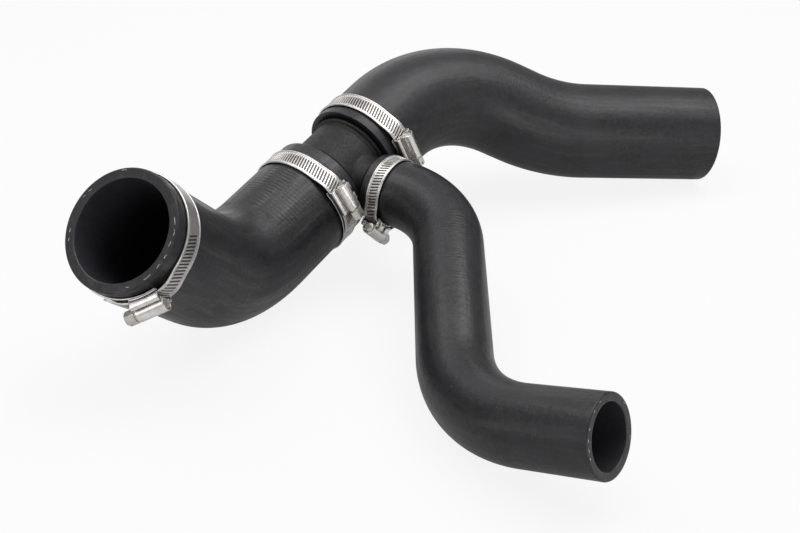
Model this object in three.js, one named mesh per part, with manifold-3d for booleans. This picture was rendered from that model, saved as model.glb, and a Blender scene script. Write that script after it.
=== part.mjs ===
import * as THREE from 'three';
import { mergeVertices } from 'three/addons/utils/BufferGeometryUtils.js';
import Module from 'manifold-3d';

// Coolant hose set for a radiator: a moulded T-piece, three moulded rubber hoses
// and four worm-drive clamps, lying on a table as it comes to rest.
// Lengths are millimetres, angles are degrees, +Z is up.

// Clearance between pieces that touch
const seatGap = 0.3;

// Hose sections
const mainHoseOuter = 65;
const mainHoseWall = 5.5;
const branchHoseOuter = 40.5;
const branchHoseWall = 4.5;

// T-piece: how it lies, its pipes and its rings
const runHeading = 53.6;
const runClimb = 16.2;
const branchRoll = -2.3;
const mainPipeWall = 3;
const branchPipeWall = 2.5;
const neckToLower = 16.7;
const neckToUpper = 16.6;
const neckToBranch = 33.4;
const mainInsertion = 34;
const branchInsertion = 17.5;
const stopRingHeight = 1.8;
const stopRingWidth = 2.4;
const endBeadHeight = 0.7;
const endBeadLength = 5;
const branchRootFlare = 0.9;

// Lower hose: straight past the pipe end, one bend, straight to the open mouth
const lowerRunout = 22.8;
const lowerBendRadius = 60.5;
const lowerMouthStraight = 70.5;
const lowerMouthHeading = -117.6;
const lowerMouthClimb = 42.3;

// Upper hose: straight past the pipe end, two bends with a short straight between
const upperRunout = 3.3;
const upperFirstBendRadius = 83.5;
const upperMiddleStraight = 13.2;
const upperMiddleHeading = 3.6;
const upperMiddleClimb = -26.4;
const upperSecondBendRadius = 134;
const upperEndStraight = 88.3;
const upperEndHeading = 10.7;
const upperEndClimb = -6;

// Branch hose: straight past the pipe end, two bends with a long straight between
const branchRunout = 1.9;
const branchFirstBendRadius = 57.7;
const branchMiddleStraight = 84;
const branchMiddleHeading = -89.5;
const branchMiddleClimb = -14.2;
const branchSecondBendRadius = 65.3;
const branchMouthStraight = 45.3;
const branchMouthHeading = -36;
const branchMouthClimb = 17.9;

// Clamps: setback of the band from the hose end, and where the screw sits round the hose
const mouthClampSetback = 7.5;
const lowerClampSetback = 8.8;
const upperClampSetback = 6.8;
const branchClampSetback = 5.2;
const mouthClampClock = 143;
const lowerClampClock = 66.5;
const upperClampClock = 75;
const branchClampClock = 136;

// Clamp parts
const mainBandWidth = 12;
const branchBandWidth = 9;
const bandThickness = 0.7;
const bandLipHeight = 0.25;
const bandLipWidth = 1.1;
const bandRampAngle = 22;
const bandStartMargin = 2;
const bandRampMargin = 3;
const bandTailLength = 17;
const sheetThickness = 0.8;
const housingLength = 16;
const screwDiameter = 6;
const screwOffset = 0.9;
const headAcrossFlats = 7;
const headLength = 5.5;
const collarOverlap = 0.5;
const collarThickness = 1.2;
const slotWidth = 1.2;
const slotDepth = 2.2;
const mainShoulderRadius = 1.7;
const branchShoulderRadius = 1.1;
const shoulderHeight = 1.9;
const tabLength = 4;
const tabSpacing = 3;

// Facets
const mainHoseSides = 32;
const branchHoseSides = 24;
const bendStepAngle = 9;
const pipeSides = 28;
const bandStepAngle = 7.5;
const screwSides = 16;

const fullTurn = 360;
const rad = THREE.MathUtils.degToRad;
const wasm = await Module();
wasm.setup();

// Materials
const rubber = new THREE.MeshStandardMaterial({ color: 0x2e2e30, roughness: 0.6, metalness: 0 });
const plastic = new THREE.MeshStandardMaterial({ color: 0x2b2a29, roughness: 0.5, metalness: 0 });
const steel = new THREE.MeshStandardMaterial({ color: 0xb9b6b0, roughness: 0.3, metalness: 1 });

// Solids and booleans

function toManifold(geometry) {
  const bare = geometry.index ? geometry.toNonIndexed() : geometry.clone();
  bare.deleteAttribute('normal');
  bare.deleteAttribute('uv');
  const merged = mergeVertices(bare, 1e-4);
  const mesh = new wasm.Mesh({
    numProp: 3,
    vertProperties: new Float32Array(merged.attributes.position.array),
    triVerts: new Uint32Array(merged.index.array),
  });
  return new wasm.Manifold(mesh);
}

function toGeometry(manifold) {
  const mesh = manifold.getMesh();
  const geometry = new THREE.BufferGeometry();
  geometry.setAttribute('position', new THREE.BufferAttribute(new Float32Array(mesh.vertProperties), 3));
  geometry.setIndex(new THREE.BufferAttribute(new Uint32Array(mesh.triVerts), 1));
  geometry.computeVertexNormals();
  return geometry;
}

function box(x0, x1, y0, y1, z0, z1) {
  const geometry = new THREE.BoxGeometry(x1 - x0, y1 - y0, z1 - z0);
  return geometry.translate((x0 + x1) / 2, (y0 + y1) / 2, (z0 + z1) / 2);
}

function turned(profile, sides) {
  return new THREE.LatheGeometry(profile.map(([radius, y]) => new THREE.Vector2(radius, y)), sides);
}

function namedMesh(name, geometry, material) {
  const mesh = new THREE.Mesh(geometry, material);
  mesh.name = name;
  return mesh;
}

// Directions

function along(heading, climb) {
  const level = Math.cos(rad(climb));
  return new THREE.Vector3(
    level * Math.cos(rad(heading)),
    level * Math.sin(rad(heading)),
    Math.sin(rad(climb)),
  );
}

function clockDirection(axis, clock) {
  const top = new THREE.Vector3(0, 0, 1).addScaledVector(axis, -axis.z).normalize();
  return top.applyAxisAngle(axis, rad(clock));
}

const up = new THREE.Vector3(0, 0, 1);
const runDirection = along(runHeading, runClimb);
const branchLevel = new THREE.Vector3().crossVectors(runDirection, up).normalize();
const branchDirection = branchLevel.clone().applyAxisAngle(runDirection, -rad(branchRoll));
const lowerMouthDirection = along(lowerMouthHeading, lowerMouthClimb);

// Hoses: straight legs joined by round bends

class BendCurve extends THREE.Curve {
  constructor(start, fromDirection, toDirection, radius) {
    super();
    this.start = start.clone();
    this.turn = fromDirection.angleTo(toDirection);
    this.axis = new THREE.Vector3().crossVectors(fromDirection, toDirection).normalize();
    const inward = new THREE.Vector3().crossVectors(this.axis, fromDirection);
    this.centre = this.start.clone().addScaledVector(inward, radius);
  }

  getPoint(t) {
    const arm = this.start.clone().sub(this.centre);
    return arm.applyAxisAngle(this.axis, this.turn * t).add(this.centre);
  }
}

// One ring station at each end of a straight, and one every few degrees of a bend
class HoseRoute extends THREE.Curve {
  constructor(start, directions, straights, radii) {
    super();
    this.pieces = [];
    this.rings = 0;
    this.end = start.clone();
    straights.forEach((length, i) => {
      const far = this.end.clone().addScaledVector(directions[i], length);
      this.addPiece(new THREE.LineCurve3(this.end, far), 1);
      if (i < radii.length) {
        const bend = new BendCurve(far, directions[i], directions[i + 1], radii[i]);
        this.addPiece(bend, Math.ceil(bend.turn / rad(bendStepAngle)));
      }
      this.end = this.getPoint(1);
    });
  }

  addPiece(curve, rings) {
    this.pieces.push({ curve, rings, first: this.rings });
    this.rings += rings;
  }

  locate(t) {
    const station = THREE.MathUtils.clamp(t, 0, 1) * this.rings;
    const piece = this.pieces.findLast((p) => station >= p.first - 1e-9);
    return [piece.curve, THREE.MathUtils.clamp((station - piece.first) / piece.rings, 0, 1)];
  }

  getPoint(t) {
    const [curve, u] = this.locate(t);
    return curve.getPoint(u);
  }

  getTangent(t) {
    const [curve, u] = this.locate(t);
    return curve.getTangent(u);
  }

  getUtoTmapping(u) {
    return u;
  }
}

function hoseGeometry(route, outer, wall, sides) {
  const ring = new THREE.Shape();
  ring.absarc(0, 0, outer / 2, 0, 2 * Math.PI);
  const bore = new THREE.Path();
  bore.absarc(0, 0, outer / 2 - wall, 0, 2 * Math.PI, true);
  ring.holes.push(bore);
  return new THREE.ExtrudeGeometry(ring, {
    steps: route.rings,
    curveSegments: sides / 2,
    extrudePath: route,
  });
}

const lowerRoute = new HoseRoute(
  runDirection.clone().multiplyScalar(-neckToLower),
  [runDirection.clone().negate(), lowerMouthDirection],
  [mainInsertion + lowerRunout, lowerMouthStraight],
  [lowerBendRadius],
);
const upperRoute = new HoseRoute(
  runDirection.clone().multiplyScalar(neckToUpper),
  [runDirection, along(upperMiddleHeading, upperMiddleClimb), along(upperEndHeading, upperEndClimb)],
  [mainInsertion + upperRunout, upperMiddleStraight, upperEndStraight],
  [upperFirstBendRadius, upperSecondBendRadius],
);
const branchRoute = new HoseRoute(
  branchDirection.clone().multiplyScalar(neckToBranch),
  [
    branchDirection,
    along(branchMiddleHeading, branchMiddleClimb),
    along(branchMouthHeading, branchMouthClimb),
  ],
  [branchInsertion + branchRunout, branchMiddleStraight, branchMouthStraight],
  [branchFirstBendRadius, branchSecondBendRadius],
);

// T-piece: two turned pipes joined, then bored through

const mainSeatRadius = mainHoseOuter / 2 - mainHoseWall - seatGap;
const branchSeatRadius = branchHoseOuter / 2 - branchHoseWall - seatGap;

// Profile of a hose seat from its shoulder at y = shoulder out to the bead at y = tip
function seatProfile(seatRadius, shoulder, tip) {
  const side = Math.sign(tip - shoulder);
  const groove = seatRadius - endBeadHeight;
  return [
    [seatRadius, shoulder],
    [seatRadius, shoulder + side * endBeadLength],
    [groove, shoulder + side * (endBeadLength + 1)],
    [groove, tip - side * endBeadLength],
    [seatRadius, tip - side * endBeadLength * 0.5],
    [seatRadius, tip - side * endBeadLength * 0.3],
    [groove, tip],
    [0, tip],
  ];
}

function runOuterProfile() {
  const ringRadius = mainSeatRadius + stopRingHeight;
  const ringEnd = neckToUpper - seatGap;
  const ringStart = ringEnd - stopRingWidth;
  return [
    ...seatProfile(mainSeatRadius, -neckToLower, -neckToLower - mainInsertion).reverse(),
    [mainSeatRadius, ringStart - 0.6],
    [ringRadius - 0.5, ringStart],
    [ringRadius, ringStart + 0.5],
    [ringRadius, ringEnd - 0.4],
    [ringRadius - 0.4, ringEnd],
    [mainSeatRadius, ringEnd],
    ...seatProfile(mainSeatRadius, neckToUpper, neckToUpper + mainInsertion),
  ];
}

function branchOuterProfile() {
  const root = branchSeatRadius + branchRootFlare;
  return [
    [0, 0],
    [root, 0],
    [root, mainSeatRadius - branchRootFlare],
    [branchSeatRadius, mainSeatRadius + branchRootFlare * 3],
    ...seatProfile(branchSeatRadius, neckToBranch, neckToBranch + branchInsertion),
  ];
}

function teeGeometry() {
  const runBoreRadius = mainSeatRadius - endBeadHeight - mainPipeWall;
  const branchBoreRadius = branchSeatRadius - endBeadHeight - branchPipeWall;
  const overrun = 5;
  const runStart = -neckToLower - mainInsertion - overrun;
  const runEnd = neckToUpper + mainInsertion + overrun;
  const branchEnd = neckToBranch + branchInsertion + overrun;
  const toBranch = new THREE.Matrix4().makeRotationZ(-Math.PI / 2);
  const runPipe = toManifold(turned(runOuterProfile(), pipeSides));
  const branchPipe = toManifold(turned(branchOuterProfile(), pipeSides).applyMatrix4(toBranch));
  const runBore = toManifold(turned(
    [[0, runStart], [runBoreRadius, runStart], [runBoreRadius, runEnd], [0, runEnd]],
    pipeSides,
  ));
  const branchBore = toManifold(turned(
    [[0, 0], [branchBoreRadius, 0], [branchBoreRadius, branchEnd], [0, branchEnd]],
    pipeSides,
  ).applyMatrix4(toBranch));
  return toGeometry(runPipe.add(branchPipe).subtract(runBore).subtract(branchBore));
}

function makeTee() {
  const mesh = namedMesh('tee_connector', teeGeometry(), plastic);
  const third = new THREE.Vector3().crossVectors(branchDirection, runDirection);
  const lie = new THREE.Matrix4().makeBasis(branchDirection, runDirection, third);
  mesh.quaternion.setFromRotationMatrix(lie);
  return mesh;
}

// Clamps. In a clamp's own frame Z is the hose axis, the screw sits at +X and its head
// points to +Y. The sheet stack from the hose outwards: first band layer, saddle,
// second band layer, screw.

function clampLevels(hoseOuter) {
  const bandDepth = bandThickness + bandLipHeight;
  const firstLayer = hoseOuter / 2 + seatGap;
  const saddle = firstLayer + bandDepth + seatGap;
  const saddleTop = saddle + sheetThickness;
  const secondLayer = saddleTop + seatGap;
  const flangeTop = secondLayer + bandDepth + seatGap + sheetThickness;
  const screw = secondLayer + bandThickness + seatGap + screwDiameter / 2;
  return { bandDepth, firstLayer, saddle, saddleTop, secondLayer, flangeTop, screw };
}

// The band starts under the saddle, goes once round, climbs over its own start, passes
// between saddle and screw, and ends in a free tail lying on the first layer
class BandPath extends THREE.Curve {
  constructor(levels) {
    super();
    const halfHousing = THREE.MathUtils.radToDeg(Math.asin(housingLength / 2 / levels.saddle));
    const tail = THREE.MathUtils.radToDeg(bandTailLength / levels.secondLayer);
    const flat = halfHousing + bandRampMargin;
    this.start = -halfHousing + bandStartMargin;
    this.finish = fullTurn + halfHousing + tail;
    this.knots = [
      [this.start, levels.firstLayer],
      [fullTurn - flat - bandRampAngle, levels.firstLayer],
      [fullTurn - flat, levels.secondLayer],
      [fullTurn + flat, levels.secondLayer],
      [fullTurn + flat + bandRampAngle, levels.firstLayer + levels.bandDepth + seatGap],
    ];
  }

  radiusAt(angle) {
    const next = this.knots.findIndex(([knotAngle]) => knotAngle > angle);
    if (next < 0) return this.knots.at(-1)[1];
    if (next === 0) return this.knots[0][1];
    const [a0, r0] = this.knots[next - 1];
    const [a1, r1] = this.knots[next];
    return THREE.MathUtils.lerp(r0, r1, THREE.MathUtils.smoothstep(angle, a0, a1));
  }

  getPoint(t) {
    const angle = THREE.MathUtils.lerp(this.start, this.finish, t);
    const radius = this.radiusAt(angle);
    return new THREE.Vector3(radius * Math.cos(rad(angle)), radius * Math.sin(rad(angle)), 0);
  }

  getUtoTmapping(u) {
    return u;
  }
}

// Along a level path the section's x runs to -Z and its y runs inwards
function bandSection(width) {
  const half = width / 2;
  const lip = bandThickness + bandLipHeight;
  const outline = [
    [-half, 0],
    [-half, -lip],
    [-half + bandLipWidth, -bandThickness],
    [half - bandLipWidth, -bandThickness],
    [half, -lip],
    [half, 0],
  ];
  return new THREE.Shape(outline.map(([x, y]) => new THREE.Vector2(x, y)));
}

function bandGeometry(levels, clamp) {
  const path = new BandPath(levels);
  return new THREE.ExtrudeGeometry(bandSection(clamp.bandWidth), {
    steps: Math.round((path.finish - path.start) / bandStepAngle),
    extrudePath: path,
  });
}

function arcPlate(inner, outer, halfLength, z0, z1) {
  const shape = new THREE.Shape();
  const innerAngle = Math.asin(halfLength / inner);
  const outerAngle = Math.asin(halfLength / outer);
  shape.absarc(0, 0, inner, innerAngle, -innerAngle, true);
  shape.absarc(0, 0, outer, -outerAngle, outerAngle, false);
  const geometry = new THREE.ExtrudeGeometry(shape, {
    depth: z1 - z0,
    curveSegments: 4,
    bevelEnabled: false,
  });
  return geometry.translate(0, 0, z0);
}

// Curved plate with two tabs that stand up beside the housing and fold over its flange
function saddleGeometry(levels, clamp) {
  const half = housingLength / 2;
  const wallOuter = clamp.bandWidth / 2 + seatGap + sheetThickness;
  const tabInner = wallOuter + seatGap;
  const tabOuter = tabInner + sheetThickness;
  const foldUnder = levels.flangeTop + seatGap;
  const foldTop = foldUnder + sheetThickness;
  const barrelSide = screwOffset + screwDiameter / 2 + seatGap + sheetThickness;
  const foldEdge = barrelSide + seatGap;
  const root = levels.saddle * Math.cos(Math.asin(half / levels.saddle));
  let saddle = toManifold(arcPlate(levels.saddle, levels.saddleTop, half, -wallOuter, tabOuter));
  const block = toManifold(arcPlate(levels.saddle, foldTop + 1, half, -wallOuter, tabOuter + 1));
  for (const side of [-1, 1]) {
    const y = side * (tabSpacing + tabLength) / 2;
    const y0 = y - tabLength / 2;
    const y1 = y + tabLength / 2;
    const wall = toManifold(box(root, foldTop, y0, y1, tabInner, tabOuter));
    const fold = toManifold(box(foldUnder, foldTop, y0, y1, foldEdge, tabOuter));
    saddle = saddle.add(wall.add(fold).intersect(block));
  }
  return toGeometry(saddle);
}

// Pressed sheet: a shoulder over one band edge, a barrel over the screw, a flange for the tabs
function housingSection(levels, clamp) {
  const edge = clamp.bandWidth / 2 + seatGap + sheetThickness;
  const barrelOuter = screwDiameter / 2 + seatGap + sheetThickness;
  const barrelInner = barrelOuter - sheetThickness;
  const foot = levels.saddle;
  const top = levels.flangeTop;
  const under = top - sheetThickness;
  const lean = Math.asin((top - levels.screw) / barrelOuter);
  const { shoulderRadius } = clamp;
  const shoulderX = -edge + shoulderRadius;
  const shoulderY = top + shoulderHeight - shoulderRadius;
  const shoulderInner = shoulderRadius - sheetThickness;
  const shape = new THREE.Shape();
  shape.moveTo(-edge, foot);
  shape.absarc(shoulderX, shoulderY, shoulderRadius, Math.PI, 0, true);
  shape.lineTo(shoulderX + shoulderRadius, top);
  shape.absarc(screwOffset, levels.screw, barrelOuter, Math.PI - lean, lean, true);
  shape.lineTo(edge, top);
  shape.lineTo(edge, foot);
  shape.lineTo(edge - sheetThickness, foot);
  shape.lineTo(edge - sheetThickness, under);
  shape.lineTo(screwOffset + barrelInner * Math.cos(lean), under);
  shape.absarc(screwOffset, levels.screw, barrelInner, lean, Math.PI - lean, false);
  shape.lineTo(screwOffset - barrelInner * Math.cos(lean), under);
  shape.lineTo(shoulderX + shoulderInner, under);
  shape.absarc(shoulderX, shoulderY, shoulderInner, 0, Math.PI, false);
  shape.lineTo(-edge + sheetThickness, foot);
  return shape;
}

function housingGeometry(levels, clamp) {
  const extruded = new THREE.ExtrudeGeometry(housingSection(levels, clamp), {
    depth: housingLength,
    curveSegments: 5,
    bevelEnabled: false,
  });
  // The section's x becomes Z and its y becomes X, and the length runs along Y
  const stand = new THREE.Matrix4().set(
    0, 1, 0, 0,
    0, 0, 1, -housingLength / 2,
    1, 0, 0, 0,
    0, 0, 0, 1,
  );
  const span = clamp.bandWidth + 10;
  const seatRadius = levels.saddleTop + seatGap;
  const seat = new THREE.CylinderGeometry(seatRadius, seatRadius, span, 72).rotateX(Math.PI / 2);
  return toGeometry(toManifold(extruded.applyMatrix4(stand)).subtract(toManifold(seat)));
}

function screwGeometry() {
  const worm = screwDiameter / 2;
  const half = housingLength / 2;
  const collar = worm + seatGap + collarOverlap;
  const collarStart = half + seatGap;
  const headStart = collarStart + collarThickness;
  const headEnd = headStart + headLength;
  const corner = headAcrossFlats / Math.sqrt(3);
  const shank = turned([
    [0, -half + 0.4],
    [worm - 0.4, -half + 0.4],
    [worm, -half + 0.8],
    [worm, half - 1],
    [worm * 0.85, half - 0.4],
    [worm * 0.85, collarStart],
    [collar, collarStart],
    [collar, headStart],
    [0, headStart],
  ], screwSides);
  const head = new THREE.CylinderGeometry(corner, corner, headLength + 0.2, 6);
  head.translate(0, headStart + headLength / 2 - 0.1, 0);
  const crown = turned([
    [0, headStart - 1],
    [corner + 1, headStart - 1],
    [corner + 1, headEnd - 1.2],
    [corner - 0.7, headEnd],
    [0, headEnd],
  ], screwSides);
  const slotEnd = headEnd + 1;
  const slot = box(-corner - 1, corner + 1, headEnd - slotDepth, slotEnd, -slotWidth / 2, slotWidth / 2);
  const hexagon = toManifold(head).intersect(toManifold(crown)).subtract(toManifold(slot));
  return toGeometry(toManifold(shank).add(hexagon));
}

function makeClamp(name, clamp, hoseEnd, inward, axis, clock) {
  const levels = clampLevels(clamp.hoseOuter);
  const group = new THREE.Group();
  const toScrew = clockDirection(axis, clock);
  const toHead = new THREE.Vector3().crossVectors(axis, toScrew);
  group.quaternion.setFromRotationMatrix(new THREE.Matrix4().makeBasis(toScrew, toHead, axis));
  group.position.copy(hoseEnd).addScaledVector(inward, clamp.setback + clamp.bandWidth / 2);
  group.add(namedMesh(`${name}_band`, bandGeometry(levels, clamp), steel));
  group.add(namedMesh(`${name}_saddle`, saddleGeometry(levels, clamp), steel));
  group.add(namedMesh(`${name}_housing`, housingGeometry(levels, clamp), steel));
  const screw = namedMesh(`${name}_screw`, screwGeometry(), steel);
  screw.position.set(levels.screw, 0, screwOffset);
  group.add(screw);
  return group;
}

const mainClamp = {
  hoseOuter: mainHoseOuter,
  bandWidth: mainBandWidth,
  shoulderRadius: mainShoulderRadius,
};
const branchClamp = {
  hoseOuter: branchHoseOuter,
  bandWidth: branchBandWidth,
  shoulderRadius: branchShoulderRadius,
};

// Assembly about the centre of the T-piece

const assembly = new THREE.Group();
assembly.add(makeTee());
assembly.add(namedMesh(
  'hose_lower',
  hoseGeometry(lowerRoute, mainHoseOuter, mainHoseWall, mainHoseSides),
  rubber,
));
assembly.add(namedMesh(
  'hose_upper',
  hoseGeometry(upperRoute, mainHoseOuter, mainHoseWall, mainHoseSides),
  rubber,
));
assembly.add(namedMesh(
  'hose_branch',
  hoseGeometry(branchRoute, branchHoseOuter, branchHoseWall, branchHoseSides),
  rubber,
));
assembly.add(makeClamp(
  'clamp_mouth',
  { ...mainClamp, setback: mouthClampSetback },
  lowerRoute.end,
  lowerMouthDirection.clone().negate(),
  lowerMouthDirection.clone().negate(),
  mouthClampClock,
));
assembly.add(makeClamp(
  'clamp_lower',
  { ...mainClamp, setback: lowerClampSetback },
  lowerRoute.getPoint(0),
  runDirection.clone().negate(),
  runDirection,
  lowerClampClock,
));
assembly.add(makeClamp(
  'clamp_upper',
  { ...mainClamp, setback: upperClampSetback },
  upperRoute.getPoint(0),
  runDirection,
  runDirection,
  upperClampClock,
));
assembly.add(makeClamp(
  'clamp_branch',
  { ...branchClamp, setback: branchClampSetback },
  branchRoute.getPoint(0),
  branchDirection,
  branchDirection,
  branchClampClock,
));

// The origin is under the middle of the part, on the table
const part = new THREE.Group();
part.add(assembly);
part.updateMatrixWorld(true);
const extent = new THREE.Box3().setFromObject(part, true);
const middle = extent.getCenter(new THREE.Vector3());
assembly.position.set(-middle.x, -middle.y, -extent.min.z);

export default part;
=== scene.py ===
import math

import bmesh
import bpy
from mathutils import Matrix, Vector


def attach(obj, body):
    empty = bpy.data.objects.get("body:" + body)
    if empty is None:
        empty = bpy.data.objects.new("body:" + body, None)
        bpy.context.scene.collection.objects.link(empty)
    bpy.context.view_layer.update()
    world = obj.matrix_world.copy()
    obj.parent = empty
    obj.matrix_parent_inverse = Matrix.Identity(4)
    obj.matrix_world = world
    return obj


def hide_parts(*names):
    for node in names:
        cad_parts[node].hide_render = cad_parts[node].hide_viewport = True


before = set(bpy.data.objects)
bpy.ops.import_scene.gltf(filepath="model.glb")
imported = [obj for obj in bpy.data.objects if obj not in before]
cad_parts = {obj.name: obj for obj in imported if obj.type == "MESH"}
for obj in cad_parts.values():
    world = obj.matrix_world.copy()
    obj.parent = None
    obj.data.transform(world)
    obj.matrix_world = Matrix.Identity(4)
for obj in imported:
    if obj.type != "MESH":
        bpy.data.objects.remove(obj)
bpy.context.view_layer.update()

mm = 0.001
seatGap = 0.3  # clearance between pieces that touch, mm
weld = 1e-3  # points nearer than this become one, mm
hair = 1e-4  # places nearer than this count as the same, mm
teeCentre = Vector((-66.3568, 59.7598, 55.4239))  # where the pipe axes meet, mm


# Small helpers

def hexColour(code):
    channels = [int(code[i:i + 2], 16) / 255 for i in (1, 3, 5)]
    linear = [c / 12.92 if c <= 0.04045 else ((c + 0.055) / 1.055) ** 2.4 for c in channels]
    return (*linear, 1)


def along(heading, climb):
    h, c = math.radians(heading), math.radians(climb)
    return Vector((math.cos(c) * math.cos(h), math.cos(c) * math.sin(h), math.sin(c)))


def easeStep(value, low, high):
    t = min(1, max(0, (value - low) / (high - low)))
    return t * t * (3 - 2 * t)


def linkNew(name, data):
    thing = bpy.data.objects.new(name, data)
    bpy.context.scene.collection.objects.link(thing)
    return thing


def roundEdges(piece, width, angle):
    edge = piece.modifiers.new("edges", "BEVEL")
    edge.width = width * mm
    edge.segments = 2
    edge.limit_method = "ANGLE"
    edge.angle_limit = math.radians(angle)


def extrudeEdges(bm, edges, matrix):
    # gives the moved edges back, to be extruded again
    made = bmesh.ops.extrude_edge_only(bm, edges=edges)["geom"]
    verts = [g for g in made if isinstance(g, bmesh.types.BMVert)]
    fresh = set(verts)
    rim = [g for g in made if isinstance(g, bmesh.types.BMEdge) and fresh.issuperset(g.verts)]
    bmesh.ops.transform(bm, matrix=matrix, verts=verts)
    return rim


def settlePiece(name, bm, material, body, nodes=(), sharpAngle=None):
    bmesh.ops.scale(bm, vec=(mm, mm, mm), verts=bm.verts)
    mesh = bpy.data.meshes.new(name)
    bm.to_mesh(mesh)
    bm.free()
    mesh.polygons.foreach_set("use_smooth", [True] * len(mesh.polygons))
    if sharpAngle:
        mesh.set_sharp_from_angle(angle=math.radians(sharpAngle))
    mesh.materials.append(material)
    piece = linkNew(name, mesh)
    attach(piece, body)
    if nodes:
        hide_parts(*nodes)
    return piece


def joinSolids(bm, other, operation):
    # exact boolean of two closed bmeshes, in mm
    workers = []
    for solid in (bm, other):
        mesh = bpy.data.meshes.new("solid")
        solid.to_mesh(mesh)
        solid.free()
        workers.append(linkNew("solid", mesh))
    cut = workers[0].modifiers.new("cut", "BOOLEAN")
    cut.operation = operation
    cut.solver = "EXACT"
    cut.object = workers[1]
    settled = workers[0].evaluated_get(bpy.context.evaluated_depsgraph_get())
    made = bmesh.new()
    made.from_mesh(settled.to_mesh())
    settled.to_mesh_clear()
    for worker in workers:
        mesh = worker.data
        bpy.data.objects.remove(worker)
        bpy.data.meshes.remove(mesh)
    bmesh.ops.remove_doubles(made, verts=made.verts, dist=weld)
    return made


def latheSolid(profile, steps):
    # profile of (radius, height) turned about the local Y axis
    bm = bmesh.new()
    verts = [bm.verts.new((radius, height, 0)) for radius, height in profile]
    edges = [bm.edges.new(pair) for pair in zip(verts, verts[1:])]
    bmesh.ops.spin(bm, geom=verts + edges, cent=(0, 0, 0), axis=(0, 1, 0), dvec=(0, 0, 0),
                   angle=2 * math.pi, steps=steps, use_merge=True, use_duplicate=False)
    bmesh.ops.remove_doubles(bm, verts=bm.verts, dist=hair)
    bmesh.ops.recalc_face_normals(bm, faces=bm.faces)
    return bm


# Materials

def addNode(tree, kind, settings=None, inputs=None):
    # an input given as a node takes that node's first output
    node = tree.nodes.new(kind)
    for name, value in (settings or {}).items():
        setattr(node, name, value)
    for name, value in (inputs or {}).items():
        if isinstance(value, bpy.types.Node):
            value = value.outputs[0]
        if isinstance(value, bpy.types.NodeSocket):
            tree.links.new(value, node.inputs[name])
        else:
            node.inputs[name].default_value = value
    return node


def newMaterial(name):
    material = bpy.data.materials.new(name)
    material.use_nodes = True
    material.node_tree.nodes.clear()
    return material, material.node_tree


# EPDM rubber, wrapped in wet nylon tape while it cures on its mandrel: satin carbon
# black, with the tape's fine rings and lengthwise creases pressed into the skin
rubberSkin = {
    # noises, as (size of a grain in mm, detail); the streaks are drawn out along the hose
    "grains": {"patches": (26, 3), "pressed": (15, 4), "weave": (0.9, 3), "mottle": (3.2, 5),
               "dust": (1.2, 1), "scuffs": (7, 4), "streaks": (4.5, 4)},
    "drawnOut": (1, 1, 0.08),
    # the side of the hose where the rings show most, as a direction across it, and the
    # length in mm over which they give way to smooth rubber
    "ringSide": (-0.6, 0.8, 0), "ringFade": 35,
    "ringBump": 0.25, "mottleBump": (0.5, 0.42), "weaveBump": (0.35, 0.1), "creaseBump": 0.6,
    # the bore's colour is lighter than the skin's: painted light inside the hose, where it would
    # be in shade
    "dust": "#7d7873", "bore": "#2b2b2f", "ior": 1.41,
}


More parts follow.
